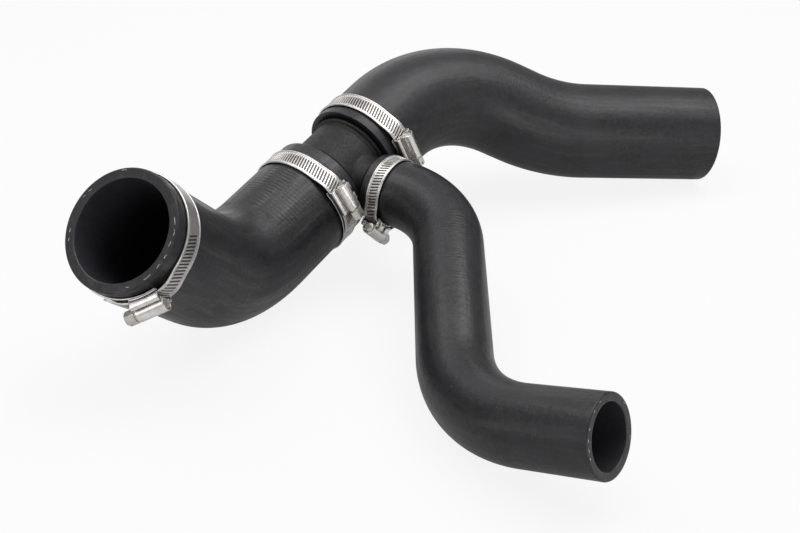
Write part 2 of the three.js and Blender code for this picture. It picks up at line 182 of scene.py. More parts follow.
def wrappedRubber(name, look):
    skin, grains, masks = rubberSkin, {}, {}
    material, tree = newMaterial(name)
    # where a point lies on the hose if it were straight, in mm, and how deep in the wall
    laid = addNode(tree, "ShaderNodeAttribute", {"attribute_name": "laid"}).outputs["Vector"]
    depth = addNode(tree, "ShaderNodeAttribute", {"attribute_name": "wallDepth"}).outputs["Fac"]
    alongHose = addNode(tree, "ShaderNodeSeparateXYZ", inputs={"Vector": laid}).outputs["Z"]
    drawn = addNode(tree, "ShaderNodeVectorMath", {"operation": "MULTIPLY"},
                    {0: laid, 1: skin["drawnOut"]})
    for key, (size, detail) in skin["grains"].items():
        grains[key] = addNode(tree, "ShaderNodeTexNoise", inputs={
            "Vector": drawn if key == "streaks" else laid, "Scale": 1 / size,
            "Detail": detail, "Roughness": 0.6})
    gloss, smooth = look["gloss"], look["smoothFrom"]
    side = addNode(tree, "ShaderNodeVectorMath", {"operation": "DOT_PRODUCT"},
                   {0: laid, 1: skin["ringSide"]}).outputs["Value"]
    # each mask eases from start to end while its value rises from low to high
    for key, value, low, high, start, end in (
            ("pale", grains["patches"], 0.38, 0.64, 0, 1),
            ("mottled", grains["mottle"], 0.38, 0.66, 0, 1),
            ("worn", grains["streaks"], 0.5, 0.78, 0, look["wear"]),
            ("scuffed", grains["scuffs"], 0.6, 0.76, 0, look["wear"]),
            ("dusty", grains["dust"], 0.785, 0.81, 0, 0.5),
            ("pressed", grains["pressed"], 0.44, 0.62, look["ringFaint"], 1),
            ("wrapped", alongHose, smooth, smooth + skin["ringFade"], 1, look["ringFaint"]),
            ("outside", depth, 0, 0.05, 1, 0),
            # the bore's mask, where painted light lightens the inside of the hose
            ("bore", depth, 0.96, 1, 0, 1),
            ("facing", side, 6, 27, look["ringBack"], 1),
            ("roughness", grains["streaks"], 0.34, 0.66, gloss + look["streak"],
             gloss - look["streak"])):
        masks[key] = addNode(tree, "ShaderNodeMapRange", {"interpolation_type": "SMOOTHSTEP"}, {
            "Value": value, "From Min": low, "From Max": high, "To Min": start, "To Max": end})
    # a wave of scale 1 repeats every pi / 10
    rings = addNode(tree, "ShaderNodeTexWave", {"wave_type": "BANDS", "bands_direction": "Z"}, {
        "Vector": laid, "Scale": math.pi / 10 / look["ringPitch"], "Distortion": 1.8,
        "Detail": 2, "Detail Scale": 0.5}).outputs["Fac"]
    for key in ("pressed", "wrapped", "outside", "facing"):
        rings = addNode(tree, "ShaderNodeMath", {"operation": "MULTIPLY"},
                        {0: rings, 1: masks[key]})

    colour = hexColour(look["dark"])
    for amount, code in (("pale", look["pale"]), ("mottled", look["pale"]),
                         ("worn", look["worn"]), ("scuffed", look["worn"]),
                         # the bore gets a lighter colour: painted light
                         ("dusty", skin["dust"]), ("bore", skin["bore"])):
        colour = addNode(tree, "ShaderNodeMix", {"data_type": "RGBA"}, {
            "Factor": masks[amount], 6: colour, 7: hexColour(code)}).outputs[2]
    height = addNode(tree, "ShaderNodeBump", inputs={
        "Strength": skin["creaseBump"], "Distance": look["creaseDepth"] * mm,
        "Height": grains["streaks"]})
    for strength, reach, pattern in ((look["ringStrength"], skin["ringBump"], rings),
                                     (*skin["mottleBump"], grains["mottle"]),
                                     (*skin["weaveBump"], grains["weave"])):
        height = addNode(tree, "ShaderNodeBump", inputs={
            "Strength": strength, "Distance": reach * mm, "Height": pattern, "Normal": height})
    shader = addNode(tree, "ShaderNodeBsdfPrincipled", inputs={
        "Base Color": colour, "Roughness": masks["roughness"], "IOR": skin["ior"],
        "Normal": height})
    addNode(tree, "ShaderNodeOutputMaterial", inputs={"Surface": shader})
    return material


finishes = {
    # glass-filled nylon, injection moulded: a warm dark grey, satin, with a faint eggshell
    "mouldedNylon": {
        "cloud": 9, "pale": "#1a1918", "deep": "#0e0d0d", "smooth": 0.46, "dull": 0.7,
        "ior": 1.37, "grain": 1.6, "bump": 0.2, "metallic": 0, "stretch": (1, 1, 1)},
    # stainless strip, cold rolled: bright, with fine lines along the rolling direction, and
    # pressed grooves that stay dull, painted darker by their depth as painted shade
    "rolledStainlessStrip": {
        "cloud": 5, "pale": "#c6c4c2", "deep": "#b0adaa", "smooth": 0.3, "dull": 0.42,
        "ior": 1.5, "grain": 0.4, "bump": 0.01, "metallic": 1, "stretch": (0.06, 1, 1),
        "grooveShade": "#4a4643"},
    # the same steel pressed into the saddle and housing: smoother, and paler than the strip as
    # painted light
    "litPressedStainless": {
        "cloud": 4, "pale": "#dddbd8", "deep": "#c9c6c2", "smooth": 0.24, "dull": 0.34,
        "ior": 1.5, "grain": 0.6, "bump": 0.004, "metallic": 1, "stretch": (1, 1, 1)},
    # zinc-plated steel: duller than the pressed sheet, with a slight warm bloom
    "zincPlatedSteel": {
        "cloud": 2.5, "pale": "#d3d1c9", "deep": "#bcb9b0", "smooth": 0.32, "dull": 0.45,
        "ior": 1.5, "grain": 0.5, "bump": 0.03, "metallic": 1, "stretch": (1, 1, 1)},
    # polyester yarn, spun and cut: matt off-white
    "polyesterYarn": {
        "cloud": 1, "pale": "#c0bbb3", "deep": "#827d76", "smooth": 0.7, "dull": 0.85,
        "ior": 1.5, "grain": 0.2, "bump": 0.1, "metallic": 0, "stretch": (1, 1, 1)},
}


def makeFinish(name, surfaceMap=None):
    # sizes are in mm, along the strip's own map or else through space
    finish = finishes[name]
    material, tree = newMaterial(name)
    if surfaceMap:
        place, unit = addNode(tree, "ShaderNodeUVMap", {"uv_map": surfaceMap}).outputs[0], 1
    else:
        place, unit = addNode(tree, "ShaderNodeTexCoord").outputs["Object"], mm
    drawn = addNode(tree, "ShaderNodeVectorMath", {"operation": "MULTIPLY"},
                    {0: place, 1: finish["stretch"]})
    cloud = addNode(tree, "ShaderNodeTexNoise", inputs={
        "Vector": place, "Scale": 1 / (finish["cloud"] * unit), "Detail": 3, "Roughness": 0.6})
    grain = addNode(tree, "ShaderNodeTexNoise", inputs={
        "Vector": drawn, "Scale": 1 / (finish["grain"] * unit), "Detail": 3, "Roughness": 0.6})
    amount = addNode(tree, "ShaderNodeMapRange", inputs={
        "Value": cloud, "From Min": 0.35, "From Max": 0.65})
    colour = addNode(tree, "ShaderNodeMix", {"data_type": "RGBA"}, {
        "Factor": amount, 6: hexColour(finish["pale"]), 7: hexColour(finish["deep"])})
    # the pressed grooves are painted darker by their depth: painted shade
    if "grooveShade" in finish:
        depth = addNode(tree, "ShaderNodeAttribute", {"attribute_name": "grooveShade"})
        colour = addNode(tree, "ShaderNodeMix", {"data_type": "RGBA"}, {
            "Factor": depth.outputs["Fac"], 6: colour.outputs[2], 7: hexColour(finish["grooveShade"])})
    roughness = addNode(tree, "ShaderNodeMapRange", inputs={
        "Value": grain, "From Min": 0.3, "From Max": 0.7,
        "To Min": finish["smooth"], "To Max": finish["dull"]})
    height = addNode(tree, "ShaderNodeBump", inputs={
        "Strength": 0.5, "Distance": finish["bump"] * mm, "Height": grain})
    shader = addNode(tree, "ShaderNodeBsdfPrincipled", inputs={
        "Base Color": colour.outputs[2], "Metallic": finish["metallic"],
        "Roughness": roughness, "IOR": finish["ior"], "Normal": height})
    addNode(tree, "ShaderNodeOutputMaterial", inputs={"Surface": shader})
    return material


# Hoses. Each one follows straight legs joined by round bends, all in mm

runDirection = along(53.6, 16.2)
branchDirection = Matrix.Rotation(math.radians(2.3), 4, runDirection) @ (
    runDirection.cross(Vector((0, 0, 1))).normalized())
mainPipe = {"seatRadius": 26.7, "insertion": 34, "neckToLower": 16.7, "neckToUpper": 16.6}
branchPipe = {"seatRadius": 15.45, "insertion": 17.5, "neckToBranch": 33.4}

hoses = {
    "lower": {
        "outer": 65, "wall": 5.5, "sides": 112,
        "start": runDirection * -mainPipe["neckToLower"],
        "directions": [-runDirection, along(-117.6, 42.3)],
        "straights": [mainPipe["insertion"] + 22.8, 70.5],
        "bends": [60.5],
        "bands": [(14.8, 12, 0.35)],
        "ringPitch": 2.4, "ringDepth": 0.04, "ringStrength": 0.8, "ringFaint": 0.1,
        "smoothFrom": 62, "creaseDepth": 0.5, "gloss": 0.4, "streak": 0.08, "wear": 0.8,
        "ringBack": 0.2, "dark": "#0d0d10", "pale": "#1c1c20", "worn": "#38322d",
    },
    "upper": {
        "outer": 65, "wall": 5.5, "sides": 112,
        "start": runDirection * mainPipe["neckToUpper"],
        "directions": [runDirection, along(3.6, -26.4), along(10.7, -6)],
        "straights": [mainPipe["insertion"] + 3.3, 13.2, 88.3],
        "bends": [83.5, 134],
        "bands": [(12.8, 12, 0.35)],
        "ringPitch": 2.2, "ringDepth": 0, "ringStrength": 0.06, "ringFaint": 0,
        "smoothFrom": 200, "creaseDepth": 0.25, "gloss": 0.43, "streak": 0.04, "wear": 0.5,
        "ringBack": 1, "dark": "#0e0e11", "pale": "#1d1d21", "worn": "#36302c",
    },
    "branch": {
        "outer": 40.5, "wall": 4.5, "sides": 88,
        "start": branchDirection * branchPipe["neckToBranch"],
        "directions": [branchDirection, along(-89.5, -14.2), along(-36, 17.9)],
        "straights": [branchPipe["insertion"] + 1.9, 84, 45.3],
        "bends": [57.7, 65.3],
        "bands": [(9.7, 9, 0.3)],
        "ringPitch": 2.2, "ringDepth": 0, "ringStrength": 0.18, "ringFaint": 0,
        "smoothFrom": 120, "creaseDepth": 0.14, "gloss": 0.39, "streak": 0.04, "wear": 0.5,
        "ringBack": 1, "dark": "#0c0c0f", "pale": "#1b1b1f", "worn": "#322d2a",
    },
}
hoseShape = {
    "teeLip": 0.4, "mouthLip": 0.8, "lipAngles": (15, 35, 55, 75, 90),
    "ringStep": 0.5, "boreStep": 4, "faceSteps": 6,
    # where the squeeze of a band eases out, from the band's edge
    "squeezeFrom": -1, "squeezeTo": 2.5,
    # where the rings come up, from the tee end and from the mouth
    "ringsAfterTee": (20, 32), "ringsBeforeMouth": (4, 12),
}


def hoseRoute(hose):
    route, travelled = [], 0
    directions = hose["directions"]
    place = Matrix.Translation(teeCentre + hose["start"]) @ (
        directions[0].to_track_quat("Z", "Y").to_matrix().to_4x4())
    for i, length in enumerate(hose["straights"]):
        route.append({"from": travelled, "to": travelled + length, "place": place})
        place = place @ Matrix.Translation((0, 0, length))
        travelled += length
        if i < len(hose["bends"]):
            radius = hose["bends"][i]
            axis = directions[i].cross(directions[i + 1]).normalized()
            turn = directions[i].angle(directions[i + 1])
            centre = place.translation + axis.cross(directions[i]) * radius
            bend = {"from": travelled, "to": travelled + turn * radius, "place": place,
                    "axis": axis, "centre": centre, "radius": radius}
            route.append(bend)
            travelled += turn * radius
            place = placeOn([bend], travelled)
    return route


def placeOn(route, distance):
    piece = next((p for p in route if distance <= p["to"]), route[-1])
    over = distance - piece["from"]
    if "axis" not in piece:
        return piece["place"] @ Matrix.Translation((0, 0, over))
    about = Matrix.Translation(piece["centre"])
    turned = Matrix.Rotation(over / piece["radius"], 4, piece["axis"])
    return about @ turned @ about.inverted() @ piece["place"]


def hoseRadius(hose, distance, length):
    shape, radius = hoseShape, hose["outer"] / 2
    for centre, width, squeeze in hose["bands"]:
        away = abs(distance - centre)
        radius -= squeeze * (1 - easeStep(away, width / 2 + shape["squeezeFrom"],
                                          width / 2 + shape["squeezeTo"]))
    fade = easeStep(distance, *shape["ringsAfterTee"])
    fade *= easeStep(length - distance, *shape["ringsBeforeMouth"])
    smooth = hose["smoothFrom"]
    fade *= 1 - easeStep(distance, smooth, smooth + rubberSkin["ringFade"])
    wave = math.sin(2 * math.pi * distance / hose["ringPitch"])
    return radius + hose["ringDepth"] * fade * wave


def hoseRings(hose, length):
    # (distance along the hose, radius, depth in the wall) from the tee end round to the bore
    outer, wall, shape = hose["outer"] / 2, hose["wall"], hoseShape
    teeLip, lip = shape["teeLip"], shape["mouthLip"]
    corner = [math.radians(a) for a in shape["lipAngles"]]
    rings = [(teeLip - teeLip * math.sin(a), outer - teeLip + teeLip * math.cos(a), 0)
             for a in reversed(corner)]
    count = round((length - teeLip - lip) / shape["ringStep"])
    for i in range(count + 1):
        distance = teeLip + (length - teeLip - lip) * i / count
        rings.append((distance, hoseRadius(hose, distance, length), 0))
    rings += [(length - lip + lip * math.sin(a), outer - lip + lip * math.cos(a), 0)
              for a in corner]
    face, steps = wall - 2 * lip, shape["faceSteps"]
    rings += [(length, outer - lip - face * i / steps, (lip + face * i / steps) / wall)
              for i in range(1, steps + 1)]
    rings += [(length - lip + lip * math.cos(a), outer - wall + lip - lip * math.sin(a), 1)
              for a in corner]
    inside = length - lip - teeLip
    count = round(inside / shape["boreStep"])
    rings += [(length - lip - inside * i / count, outer - wall, 1) for i in range(1, count + 1)]
    return rings


def makeHose(name, node, hose, material):
    route = hoseRoute(hose)
    length = route[-1]["to"]
    hose["route"], hose["length"] = route, length
    rings = hoseRings(hose, length)
    rings.append(rings[0])
    places = [placeOn(route, distance) for distance, _, _ in rings]
    sides = hose["sides"]
    bm = bmesh.new()
    laid = bm.verts.layers.float_vector.new("laid")
    wallDepth = bm.verts.layers.float.new("wallDepth")
    # a flat sheet, x once round the hose and y along its profile, is wrapped into the tube
    bmesh.ops.create_grid(bm, x_segments=sides, y_segments=len(rings) - 1, size=0.5)
    for vert in bm.verts:
        ring = round((vert.co.y + 0.5) * (len(rings) - 1))
        angle = 2 * math.pi * vert.co.x
        distance, radius, vert[wallDepth] = rings[ring]
        across = Vector((radius * math.cos(angle), radius * math.sin(angle), 0))
        vert[laid] = across + Vector((0, 0, distance))
        vert.co = places[ring] @ across
    bmesh.ops.remove_doubles(bm, verts=bm.verts, dist=weld)
    bmesh.ops.recalc_face_normals(bm, faces=bm.faces)
    settlePiece(name, bm, material, "hose_set", [node])


for key, hose in hoses.items():
    rubber = wrappedRubber(key + "HoseRubber", hose)
    makeHose(key + "Hose", "hose_" + key, hose, rubber)
print("hoses done")


# Cut yarn: short curled ends of the knitted reinforcement in the hoses' end faces.
# Each one is (angle round the face, length, distance out from the bore), degrees and mm.

yarnEnds = {
    "thickness": 0.34, "curl": 0.16, "steps": 16, "sides": 6,
    # degrees of the curl's wave in one end, and how far it shifts with the angle
    "wave": 280, "shift": 7,
    "lower": [(24, 4.2, 3.4), (13, 3.6, 3.6), (2, 3.0, 3.0), (350, 2.4, 3.8), (339, 2.6, 3.6),
              (325, 4.8, 3.6), (303, 2.0, 3.2), (205, 1.6, 2.9), (196, 2.4, 2.8),
              (160, 1.8, 3.2), (152, 2.4, 3.0), (112, 3.2, 4.2)],
    "branch": [(340, 1.0, 2.6), (190, 1.6, 3.2), (178, 2.0, 3.1), (165, 1.6, 3.2),
               (150, 1.2, 3.3), (125, 1.5, 3.4), (105, 1.2, 3.2), (35, 1.4, 3.0)],
}


def makeYarn(key, stitches, material):
    hose = hoses[key]
    face = placeOn(hose["route"], hose["length"])
    bm = bmesh.new()
    for turn, length, out in stitches:
        sheet = bmesh.ops.create_grid(bm, x_segments=yarnEnds["steps"],
                                      y_segments=yarnEnds["sides"], size=0.5)
        for vert in sheet["verts"]:
            u, around = vert.co.x, 2 * math.pi * vert.co.y
            thick = yarnEnds["thickness"] / 2 * math.sqrt(max(0, 1 - (2 * u) ** 4))
            radius = hose["outer"] / 2 - hose["wall"] + out
            wave = yarnEnds["wave"] * u + turn * yarnEnds["shift"]
            radius += yarnEnds["curl"] * math.sin(math.radians(wave))
            radius += thick * math.cos(around)
            angle = math.radians(turn) + u * length / radius
            vert.co = face @ Vector((radius * math.cos(angle), radius * math.sin(angle),
                                     thick * math.sin(around)))
    bmesh.ops.remove_doubles(bm, verts=bm.verts, dist=weld)
    bmesh.ops.recalc_face_normals(bm, faces=bm.faces)
    settlePiece(key + "HoseYarn", bm, material, "hose_set")


yarnMaterial = makeFinish("polyesterYarn")
for key in ("lower", "branch"):
    makeYarn(key, yarnEnds[key], yarnMaterial)
print("yarn done")


# T-piece: run pipe along local Y, branch pipe along local X

teeSettings = {
    "steps": 96, "beadHeight": 0.7, "beadLength": 5, "wall": 3, "branchWall": 2.5,
    "ringHeight": 1.8, "ringWidth": 2.4,
    # the stop ring's section, as (rise, step): from the pipe and the ring's start, from
    # its top and its start, and from its top and its end
    "ringFoot": [(0, -0.7), (0.3, -0.3)],
    "ringStart": [(-0.7, 0), (-0.2, 0.25), (0, 0.7)],
    "ringEnd": [(0, -0.6), (-0.2, -0.2), (-0.6, 0)],
    # two faint raised lines, after the lower neck and before the ring
    "lines": (4, 2.6), "lineHeight": 0.35, "lineSteps": (0, 0.3, 1.1, 1.4),
    # the branch's root, with two fine steps between it and the hose
    "fillet": 2.2, "rootDepth": 4, "rootSink": 0.12, "rootBlend": 0.2,
    "rootSteps": (0.5, 1.9), "stepShape": [(0, 0), (0.5, 0.2), (0.5, 0.8), (0, 1)],
    "cutLength": 90, "creaseAngle": 32,
}


def seatProfile(radius, shoulder, tip, tee):
    side = 1 if tip > shoulder else -1
    groove, bead = radius - tee["beadHeight"], tee["beadLength"]
    return [
        (radius, shoulder), (radius, shoulder + side * bead),
        (groove, shoulder + side * (bead + 1)),
        (groove, tip - side * bead), (radius, tip - side * bead * 0.5),
        (radius, tip - side * bead * 0.3), (groove, tip), (0, tip),
    ]


def makeTee(tee, material):
    run, branch = mainPipe, branchPipe
    radius, insertion = run["seatRadius"], run["insertion"]
    ringEnd = run["neckToUpper"] - seatGap
    ringStart = ringEnd - tee["ringWidth"]
    top = radius + tee["ringHeight"]
    profile = seatProfile(radius, -run["neckToLower"], -run["neckToLower"] - insertion, tee)[::-1]
    line = radius + tee["lineHeight"]
    for start in (tee["lines"][0] - run["neckToLower"], ringStart - tee["lines"][1]):
        profile += [(edge, start + step)
                    for edge, step in zip((radius, line, line, radius), tee["lineSteps"])]
    for level, place, points in ((radius, ringStart, tee["ringFoot"]),
                                 (top, ringStart, tee["ringStart"]),
                                 (top, ringEnd, tee["ringEnd"])):
        profile += [(level + rise, place + step) for rise, step in points]
    profile.append((radius, ringEnd))
    profile += seatProfile(radius, run["neckToUpper"], run["neckToUpper"] + insertion, tee)
    shell = latheSolid(profile, tee["steps"])

    stem, fillet = branch["seatRadius"], tee["fillet"]
    rootFoot = radius - tee["rootDepth"]
    root = [(0, rootFoot), (stem + fillet, rootFoot)]
    root += [(stem + fillet - fillet * math.sin(math.radians(a)),
              radius - tee["rootSink"] + fillet - fillet * math.cos(math.radians(a)))
             for a in range(0, 91, 10)]
    rootTop = root[-1][1]
    for start in tee["rootSteps"]:
        root += [(stem + rise, rootTop + start + step) for rise, step in tee["stepShape"]]
    shoulder = branch["neckToBranch"]
    stemProfile = root + seatProfile(stem, shoulder, shoulder + branch["insertion"], tee)
    stub = latheSolid(stemProfile, tee["steps"])
    toBranch = Matrix.Rotation(-math.pi / 2, 3, "Z")
    bmesh.ops.rotate(stub, verts=stub.verts, matrix=toBranch)
    for vert in stub.verts:  # the root follows the run pipe's round side
        fall = math.sqrt(radius ** 2 - min(abs(vert.co.z), radius) ** 2) - radius
        vert.co.x += fall * (1 - easeStep(vert.co.x, radius - tee["rootBlend"], rootTop))
    shell = joinSolids(shell, stub, "UNION")

    runBore = radius - tee["beadHeight"] - tee["wall"]
    branchBore = stem - tee["beadHeight"] - tee["branchWall"]
    far = tee["cutLength"]
    shell = joinSolids(shell, latheSolid([(0, -far), (runBore, -far), (runBore, far), (0, far)],
                                         tee["steps"]), "DIFFERENCE")
    cutter = latheSolid([(0, 0), (branchBore, 0), (branchBore, far), (0, far)], tee["steps"])
    bmesh.ops.rotate(cutter, verts=cutter.verts, matrix=toBranch)
    shell = joinSolids(shell, cutter, "DIFFERENCE")
    third = branchDirection.cross(runDirection)
    lie = Matrix((branchDirection, runDirection, third)).transposed().to_4x4()
    bmesh.ops.transform(shell, matrix=Matrix.Translation(teeCentre) @ lie, verts=shell.verts)
    settlePiece("teeConnector", shell, material, "hose_set",
                ["tee_connector"], sharpAngle=tee["creaseAngle"])


makeTee(teeSettings, makeFinish("mouldedNylon"))
print("tee done")


# Clamps. In a clamp's own frame Z is the hose axis, the screw sits at +X and its
# head points to +Y

clampSheet = {
    "band": 0.7, "lipHeight": 0.25, "sheet": 0.8, "rampAngle": 22, "tail": 17,
    "housing": 16, "shoulderHeight": 1.9, "tabLength": 4, "tabSpacing": 3,
    "cornerRadius": 0.45, "tabBend": 0.9, "tabMargin": 1, "foldSteps": 4, "footDrop": 0.5,
    "arcSteps": {"ridge": 12, "corner": 4, "barrel": 28}, "lengthSteps": 16,
    "saddleRows": 8, "edgeRound": 0.14, "edgeAngle": 50, "creaseAngle": 45,
    "stripCreaseAngle": 40,
    # the strip starts under the housing, lies flat a little past it, and its tip is round
    "startInset": 2, "flatMargin": 3, "tipRadius": 3.5,
    "groovePitch": 1.8, "grooveDepth": 0.5, "grooveSlant": 0.3,
    # where the slant comes in, and where it goes out before the tip
    "slantIn": (0, 4), "slantOut": (12, 5),
    # rows of points over the grooved width, as shares of its half, and where it eases out
    "grooveRows": (0, 0.35, 0.65, 0.82, 0.92, 1), "grooveRound": 0.8,
    # across a groove, as (share of the pitch, share of the depth)
    "grooveShape": [(0, 0), (0.18, 0), (0.24, 0.35), (0.34, 0.92), (0.5, 1), (0.66, 0.92),
                    (0.76, 0.35), (0.82, 0)],
    # the band's edge, as (distance in from the edge, height over the flat)
    "edgeShape": [(1.5, 0), (1.2, -0.07), (1.05, -0.07), (0.85, 0.2), (0.6, 0.25), (0.35, 0.25),
                  (0.12, 0.1), (0, -0.25)],
    # the underside's rounded edge
    "underRise": 0.18, "underInset": 0.4,
}
screwSizes = {"diameter": 6, "across": 7, "offset": 0.9, "head": 5.5, "collar": 1.2,
              "collarOverlap": 0.5, "collarRound": 0.15, "slotWidth": 1.2, "slotDepth": 2.2,
              "slotOverrun": 4, "headOverlap": 0.3, "crownReach": 1,
              # the neck under the collar, as a share of the worm's radius
              "neckShare": 0.85, "neckFrom": 1, "neckTo": 0.5,
              # sections as (out from the radius, along the screw): the worm's tip, the
              # double collar and the crown that rounds the head's corners
              "tipInset": 0.4, "tipShape": [(-0.45, 0), (-0.15, 0.12), (0, 0.45)],
              "collarShape": [(-0.15, 0), (0, 0.15), (0, 0.35), (-0.5, 0.5), (-0.5, 0.75),
                              (0, 0.9)],
              "crownShape": [(1, -1.25), (-0.15, -0.7), (-0.6, -0.2), (-1, 0)],
              "steps": 48, "crownSteps": 64, "creaseAngle": 30,
              "edgeRound": 0.12, "edgeAngle": 40}
mainClamp = {"hoseOuter": 65, "width": 12, "grooved": 8.4, "shoulder": 1.7}
branchClamp = {"hoseOuter": 40.5, "width": 9, "grooved": 5.8, "shoulder": 1.1}
clamps = {
    "mouth": {"kind": mainClamp, "hose": "lower", "end": "far", "setback": 7.5, "clock": 143,
              "flip": -1, "grooveFrom": 290},
    "lower": {"kind": mainClamp, "hose": "lower", "end": "near", "setback": 8.8, "clock": 66.5,
              "flip": -1, "grooveFrom": 60},
    "upper": {"kind": mainClamp, "hose": "upper", "end": "near", "setback": 6.8, "clock": 75,
              "flip": 1, "grooveFrom": 60},
    "branch": {"kind": branchClamp, "hose": "branch", "end": "near", "setback": 5.2, "clock": 136,
               "flip": 1, "grooveFrom": 60},
}


def clampPlace(clamp):
    # the clamp's axis points to the tee neck on the lower hose and away from it on the others
    hose = hoses[clamp["hose"]]
    inset = clamp["setback"] + clamp["kind"]["width"] / 2
    distance = inset if clamp["end"] == "near" else hose["length"] - inset
    place = placeOn(hose["route"], distance)
    axis = (place.to_3x3() @ Vector((0, 0, 1))).normalized() * clamp["flip"]
    top = (Vector((0, 0, 1)) - axis * axis.z).normalized()
    toScrew = Matrix.Rotation(math.radians(clamp["clock"]), 3, axis) @ top
    basis = Matrix((toScrew, axis.cross(toScrew), axis)).transposed().to_4x4()
    return Matrix.Translation(place.translation) @ basis


def clampLevels(kind, parts):
    depth = parts["band"] + parts["lipHeight"]
    first = kind["hoseOuter"] / 2 + seatGap
    saddle = first + depth + seatGap
    second = saddle + parts["sheet"] + seatGap
    return {
        "depth": depth, "first": first, "saddle": saddle, "second": second,
        "saddleTop": saddle + parts["sheet"],
        "flangeTop": second + depth + seatGap + parts["sheet"],
        "screw": second + parts["band"] + seatGap + screwSizes["diameter"] / 2,
    }


def makeBand(name, clamp, levels, parts, place, material):
    kind = clamp["kind"]
    halfHousing = math.degrees(math.asin(parts["housing"] / 2 / levels["saddle"]))
    tail = math.degrees(parts["tail"] / levels["second"])
    start, finish = parts["startInset"] - halfHousing, 360 + halfHousing + tail
    flat = halfHousing + parts["flatMargin"]
    outerLay = levels["first"] + levels["depth"] + seatGap
    knots = [
        (start, levels["first"]), (360 - flat - parts["rampAngle"], levels["first"]),
        (360 - flat, levels["second"]), (360 + flat, levels["second"]),
        (360 + flat + parts["rampAngle"], outerLay), (720, outerLay),
    ]

    def layRadius(angle):
        for (a0, r0), (a1, r1) in zip(knots, knots[1:]):
            if angle <= a1:
                return r0 + (r1 - r0) * easeStep(angle, a0, a1)

    span = math.radians(finish - start) * levels["first"]
    half, limit = kind["width"] / 2, kind["grooved"] / 2
    count = round(span / parts["groovePitch"])
    pitch = span / count
    shape, edgeShape = parts["grooveShape"], parts["edgeShape"]
    rows = [(limit * share, 0) for share in parts["grooveRows"]]
    rows += [(half - inset, height) for inset, height in edgeShape]
    rows = [(-y, height) for y, height in rows[:0:-1]] + rows
    cols = count * len(shape)
    bm = bmesh.new()
    flatMap = bm.loops.layers.uv.new("strip")
    # how deep each groove is, for the painted shade in it
    grooveShade = bm.verts.layers.float.new("grooveShade")
    bmesh.ops.create_grid(bm, x_segments=cols, y_segments=len(rows) - 1, size=0.5)
    bmesh.ops.recalc_face_normals(bm, faces=bm.faces)
    bmesh.ops.solidify(bm, geom=bm.faces[:], thickness=0.1)  # only to get two layers
    middle = sum(v.co.z for v in bm.verts) / len(bm.verts)
    groovesFrom = math.radians(clamp["grooveFrom"] - start) * levels["first"]
    tip = parts["tipRadius"]
    slantIn, slantOut = parts["slantIn"], [span - inset for inset in parts["slantOut"]]
    for vert in bm.verts:  # flat strip: x along it, y across it, z through it
        col = round((vert.co.x + 0.5) * cols)
        share, deep = shape[col % len(shape)]
        s = (col // len(shape) + share) * pitch
        y, height = rows[round((vert.co.y + 0.5) * (len(rows) - 1))]
        if vert.co.z > middle:
            grooved = groovesFrom < s - share * pitch < span - 2 * pitch
            deep *= grooved * (1 - easeStep(abs(y), limit * parts["grooveRound"], limit))
            # painted shade, as dark as the groove is deep
            vert[grooveShade] = deep
            z = parts["band"] + height - parts["grooveDepth"] * deep
        else:
            z = parts["underRise"] * easeStep(abs(y), half - parts["underInset"], half)
        slant = easeStep(s, *slantIn) * (1 - easeStep(s, *slantOut))
        over = max(0, s - (span - tip))
        y *= (half - tip + math.sqrt(max(0, tip ** 2 - over ** 2))) / half
        vert.co = (s - y * parts["grooveSlant"] * slant, y, z)
    for face in bm.faces:
        for loop in face.loops:
            loop[flatMap].uv = loop.vert.co.xy
    for vert in bm.verts:
        s, y, z = vert.co
        angle = start + math.degrees(s / levels["first"])
        radius, turn = layRadius(angle) + z, math.radians(angle)
        vert.co = (radius * math.cos(turn), radius * math.sin(turn), y)
    bmesh.ops.recalc_face_normals(bm, faces=bm.faces)
    bmesh.ops.transform(bm, matrix=place, verts=bm.verts)
    settlePiece(name + "Band", bm, material, "hose_set",
                [f"clamp_{name}_band"], sharpAngle=parts["stripCreaseAngle"])


def finishSheet(piece, parts):
    wall = piece.modifiers.new("thickness", "SOLIDIFY")
    wall.thickness = parts["sheet"] * mm
    wall.offset = 0
    wall.use_even_offset = True
    roundEdges(piece, parts["edgeRound"], parts["edgeAngle"])


